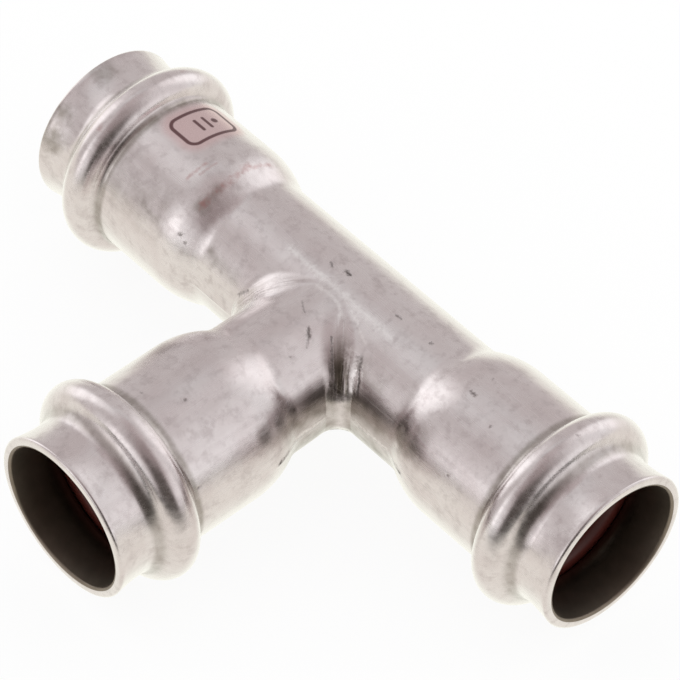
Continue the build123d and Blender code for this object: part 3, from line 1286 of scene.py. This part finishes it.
    def mark_shares(self, sketch: ShaderSketch, x, y, z) -> tuple:
        """How much tint and how much ink of the mark lies at a place, each 0 to 1."""
        mark = self.mark
        turn = sketch.math("SUBTRACT", sketch.math("ARCTAN2", z, y), math.radians(mark.turn))
        across = sketch.math("MULTIPLY", turn, self.sizes.socket)
        along = sketch.math("SUBTRACT", sketch.math("MULTIPLY", x, -1.0), mark.along)
        gap = self.box_gap(sketch, along, across, mark.half_length, mark.half_width, mark.corner)
        from_line = sketch.math("ABSOLUTE", sketch.math("ADD", gap, mark.line / 2))
        soft = mark.line * 0.2
        ink = sketch.smooth(from_line, mark.line / 2 - soft, mark.line / 2 + soft, 1.0, 0.0)
        for place in mark.bar_places:
            aside = sketch.math("SUBTRACT", across, place)
            bar = self.box_gap(sketch, along, aside, mark.bar_reach, mark.bar_half, mark.bar_half)
            ink = sketch.math("MAXIMUM", ink, sketch.smooth(bar, -soft, soft, 1.0, 0.0))
        dot = sketch.combine(along, sketch.math("SUBTRACT", across, mark.dot_place), 0.0)
        dot = sketch.math("SUBTRACT", sketch.vector("LENGTH", dot), mark.dot_radius)
        ink = sketch.math("MAXIMUM", ink, sketch.smooth(dot, -soft, soft, 1.0, 0.0))
        tint = sketch.smooth(gap, 0.0, 1.6 * MM, 0.8, 0.0)
        return tint, sketch.math("MULTIPLY", ink, 0.92)

    def box_gap(self, sketch: ShaderSketch, across, along, half_across, half_along, corner):
        """Distance outside a rounded box, negative inside.

        Args:
            sketch: the material's node tree.
            across: first distance from the box's middle.
            along: second distance from it.
            half_across: half of the box in the first direction.
            half_along: half of it in the second one.
            corner: radius of its corners.

        Returns:
            The distance.
        """
        over_x = sketch.math("SUBTRACT", sketch.math("ABSOLUTE", across), half_across - corner)
        over_y = sketch.math("SUBTRACT", sketch.math("ABSOLUTE", along), half_along - corner)
        beyond = sketch.combine(sketch.math("MAXIMUM", over_x, 0.0), sketch.math("MAXIMUM", over_y, 0.0), 0.0)
        inside = sketch.math("MINIMUM", sketch.math("MAXIMUM", over_x, over_y), 0.0)
        gap = sketch.math("ADD", sketch.vector("LENGTH", beyond), inside)
        return sketch.math("SUBTRACT", gap, corner)


@dataclass(frozen=True)
class BoreFinish:
    """Inside of the tee: duller, brownish steel."""

    colour: tuple = (0.29, 0.24, 0.195, 1.0)
    roughness: float = 0.45

    def material(self) -> bpy.types.Material:
        """Draws the node tree."""
        sketch = ShaderSketch("bore_steel", Metallic=1.0, Roughness=self.roughness)
        place = sketch.place(Vector((0.0, 0.0, 0.0)))
        spots = sketch.noise(place, 500.0, 3.0, 0.6)
        darker = tuple(0.6 * part for part in self.colour[:3]) + (1.0,)
        sketch.set("Base Color", sketch.blend(spots, self.colour, darker))
        return sketch.material


@dataclass(frozen=True)
class RubberFinish:
    """Seal rings: dark red rubber with a faint sheen and mould dust."""

    colour: tuple = (0.1, 0.02, 0.014, 1.0)
    roughness: float = 0.45

    def material(self) -> bpy.types.Material:
        """Draws the node tree."""
        sketch = ShaderSketch("ring_rubber", Metallic=0.0, Roughness=self.roughness)
        place = sketch.place(Vector((0.0, 0.0, 0.0)))
        grain = sketch.noise(place, 2500.0, 3.0, 0.6)
        paler = tuple(1.25 * part for part in self.colour[:3]) + (1.0,)
        sketch.set("Base Color", sketch.blend(grain, self.colour, paler))
        sketch.set("Normal", sketch.tune(height=grain, strength=0.15, distance=0.05 * MM))
        return sketch.material


@dataclass(frozen=True)
class Patch:
    """A soft-edged part of the light tent, with its turn and rise in degrees."""

    turn: float
    rise: float
    half_turn: float
    half_rise: float
    radiance: float
    tint: tuple = (1.0, 1.0, 1.0)
    edge: float = 4.0

    def share(self, turn: float, rise: float) -> float:
        """How fully the patch covers a direction, 0 to 1.

        Args:
            turn: the direction's turn about Z, in degrees.
            rise: its height above the horizon, in degrees.

        Returns:
            The share.
        """
        aside = abs((turn - self.turn + 180.0) % 360.0 - 180.0) / self.half_turn
        above = abs(rise - self.rise) / self.half_rise
        return math.exp(-math.log(2.0) * (aside**self.edge + above**self.edge))


@dataclass(frozen=True)
class LightTent:
    """A tent around the tee that only its reflections see, with soft boxes and a dark front."""

    distance: float = 1.5
    turn_step: int = 4
    rise_step: int = 3
    side_radiance: float = 0.66
    top_radiance: float = 0.57
    tint: tuple = (1.0, 0.95, 0.94)
    top_tint: tuple = (1.0, 0.89, 0.885)
    patches: tuple = (
        Patch(165.0, 62.0, 60.0, 7.0, 0.74),
        Patch(60.0, 20.0, 12.0, 40.0, 0.9),
        Patch(24.0, 18.0, 22.0, 50.0, 1.1),
        Patch(-96.0, 20.0, 22.0, 44.0, 1.1),
        Patch(-106.0, 17.0, 8.0, 15.0, 1.6),
        Patch(188.0, 10.0, 17.0, 46.0, 1.0),
        Patch(88.0, 12.0, 18.0, 46.0, 1.0),
        Patch(190.0, 10.0, 16.0, 34.0, 1.45),
        Patch(87.0, 12.0, 17.0, 36.0, 1.32),
        Patch(-40.0, 55.0, 62.0, 26.0, 0.39, (1.0, 0.86, 0.85)),
        Patch(-34.0, 0.0, 29.0, 46.0, 0.1, (1.0, 0.88, 0.8), edge=8.0),
    )

    def colour(self, turn: float, rise: float) -> tuple:
        """Light that comes from one direction, as red, green and blue."""
        high = min(max((rise - 40.0) / 40.0, 0.0), 1.0)
        plain = self.side_radiance + (self.top_radiance - self.side_radiance) * high
        mixed = [plain * (side + (top - side) * high) for side, top in zip(self.tint, self.top_tint)]
        for patch in self.patches:
            share = patch.share(turn, rise)
            mixed = [old + (patch.radiance * new - old) * share for old, new in zip(mixed, patch.tint)]
        return (*mixed, 1.0)

    def build(self) -> None:
        """Makes the tent as a sphere of small faces, with its light kept at its points."""
        turns = range(-180, 181, self.turn_step)
        rises = range(-6, 91, self.rise_step)
        rows, colours = [], []
        for rise in rises:
            for turn in turns:
                t, r = math.radians(turn), math.radians(rise)
                way = Vector((math.cos(r) * math.cos(t), math.cos(r) * math.sin(t), math.sin(r)))
                rows.append(way * self.distance)
                colours.append(self.colour(turn, rise))
        wide = len(turns)
        faces = [
            (j * wide + i, j * wide + i + 1, (j + 1) * wide + i + 1, (j + 1) * wide + i)
            for j in range(len(rises) - 1)
            for i in range(wide - 1)
        ]
        mesh = bpy.data.meshes.new("light_tent")
        mesh.from_pydata(rows, [], faces)
        kept = mesh.attributes.new("tent_light", "FLOAT_COLOR", "POINT")
        kept.data.foreach_set("color", [part for colour in colours for part in colour])
        mesh.materials.append(self.material())
        tent = bpy.data.objects.new("light_tent", mesh)
        bpy.context.scene.collection.objects.link(tent)
        tent.visible_camera = False
        tent.visible_diffuse = False
        tent.visible_shadow = False

    def material(self) -> bpy.types.Material:
        """Plain light in the colours kept at the tent's points."""
        material = bpy.data.materials.new("light_tent")
        material.use_nodes = True
        material.cycles.emission_sampling = "NONE"
        sketch = Sketch(material.node_tree)
        sketch.tree.nodes.clear()
        light = sketch.node("ShaderNodeAttribute", attribute_name="tent_light").outputs["Color"]
        glow = sketch.node("ShaderNodeEmission", {"Color": light, "Strength": 1.0})
        out = sketch.tree.nodes.new("ShaderNodeOutputMaterial")
        sketch.tree.links.new(glow.outputs[0], out.inputs[0])
        return material


@dataclass(frozen=True)
class Studio:
    """White floor, white surroundings and a light tent."""

    floor_half: float = 3.0
    floor_colour: tuple = (1.0, 1.0, 1.0, 1.0)
    floor_seen: tuple = (1.0, 0.99, 0.91, 1.0)
    front_turn: float = -42.0
    paper_edge: tuple = (0.06, 0.12)
    past_paper: float = 0.1
    white_share: float = 0.9
    ambient: float = 1.0
    tent: LightTent = LightTent()

    def build(self) -> None:
        """Builds the floor, the world and the tent."""
        half = self.floor_half
        corners = [(-half, -half, 0), (half, -half, 0), (half, half, 0), (-half, half, 0)]
        mesh = bpy.data.meshes.new("studio_floor")
        mesh.from_pydata(corners, [], [(0, 1, 2, 3)])
        floor = bpy.data.objects.new("studio_floor", mesh)
        bpy.context.scene.collection.objects.link(floor)
        mesh.materials.append(self.floor_material())
        self.build_world()
        self.tent.build()

    def floor_material(self) -> bpy.types.Material:
        """White to the camera and in reflections, with a part of the tee's shadow left."""
        material = bpy.data.materials.new("floor_paint")
        material.use_nodes = True
        material.cycles.emission_sampling = "NONE"
        sketch = Sketch(material.node_tree)
        sketch.tree.nodes.clear()
        rays = sketch.node("ShaderNodeLightPath").outputs
        white = sketch.node("ShaderNodeEmission", {"Color": (1.0, 1.0, 1.0, 1.0), "Strength": 1.0})
        x, y, _ = sketch.split(sketch.node("ShaderNodeTexCoord").outputs["Object"])
        front = math.radians(self.front_turn)
        towards = sketch.math("MULTIPLY", x, math.cos(front))
        towards = sketch.math("MULTIPLY_ADD", y, math.sin(front), towards)
        strength = sketch.smooth(towards, *self.paper_edge, 1.0, self.past_paper)
        warm = sketch.node("ShaderNodeEmission", {"Color": self.floor_seen, "Strength": strength})
        paint = sketch.node("ShaderNodeBsdfDiffuse", {"Color": self.floor_colour})
        to_camera = sketch.math("MULTIPLY", rays["Is Camera Ray"], self.white_share)
        seen = sketch.node("ShaderNodeMixShader", {0: to_camera, 1: paint.outputs[0], 2: white.outputs[0]})
        glossy = sketch.math("MAXIMUM", rays["Is Glossy Ray"], rays["Is Transmission Ray"])
        whole = sketch.node("ShaderNodeMixShader", {0: glossy, 1: seen.outputs[0], 2: warm.outputs[0]})
        out = sketch.tree.nodes.new("ShaderNodeOutputMaterial")
        sketch.tree.links.new(whole.outputs[0], out.inputs[0])
        return material

    def build_world(self) -> None:
        """White for what the camera and reflections see, and the ambient strength as light."""
        world = bpy.data.worlds.new("studio_world")
        world.use_nodes = True
        sketch = Sketch(world.node_tree)
        sketch.tree.nodes.clear()
        rays = sketch.node("ShaderNodeLightPath").outputs
        seen = sketch.math("MAXIMUM", rays["Is Camera Ray"], rays["Is Glossy Ray"])
        seen = sketch.math("MAXIMUM", seen, rays["Is Transmission Ray"])
        strength = sketch.math("MULTIPLY_ADD", seen, 1.0 - self.ambient, self.ambient)
        shade = sketch.node("ShaderNodeBackground", {"Strength": strength})
        shade.inputs["Color"].default_value = (1.0, 1.0, 1.0, 1.0)
        out = sketch.tree.nodes.new("ShaderNodeOutputWorld")
        sketch.tree.links.new(shade.outputs[0], out.inputs[0])
        bpy.context.scene.world = world


@dataclass(frozen=True)
class PhotoCamera:
    """The camera at the photograph's viewing angle."""

    place: tuple = (0.23236, -0.19929, 0.37492)
    turn: tuple = (40.989, -0.666, 48.187)
    lens: float = 214.02

    def build(self) -> None:
        """Makes the camera and gives it to the scene."""
        data = bpy.data.cameras.new("photo_camera")
        data.lens = self.lens
        data.sensor_width = 36.0
        data.clip_start = 0.02
        data.clip_end = 20.0
        camera = bpy.data.objects.new("photo_camera", data)
        bpy.context.scene.collection.objects.link(camera)
        camera.location = self.place
        camera.rotation_euler = Euler([math.radians(part) for part in self.turn])
        bpy.context.scene.camera = camera


def main() -> None:
    """Builds the tee's finishes, body and rings, and then the studio and the camera."""
    logging.basicConfig(level=logging.INFO, format="%(name)s: %(message)s")
    bpy.context.scene.view_settings.view_transform = "Standard"
    sizes = TeeSizes.from_frame()
    steel = SteelFinish(sizes).material()
    bore = BoreFinish().material()
    rubber = RubberFinish().material()
    body = PressedBody(sizes, Web(), Crotch(), PartingLine(), Detail()).build(steel, bore)
    LOG.info("%s replaces tee_body", body.name)
    for side in ("left", "right", "branch"):
        ring = bpy.data.objects[f"seal_ring_{side}"]
        ring.data.materials.clear()
        ring.data.materials.append(rubber)
        LOG.info("%s keeps its packed shape", ring.name)
    Studio().build()
    PhotoCamera().build()


if __name__ == "__main__":
    main()
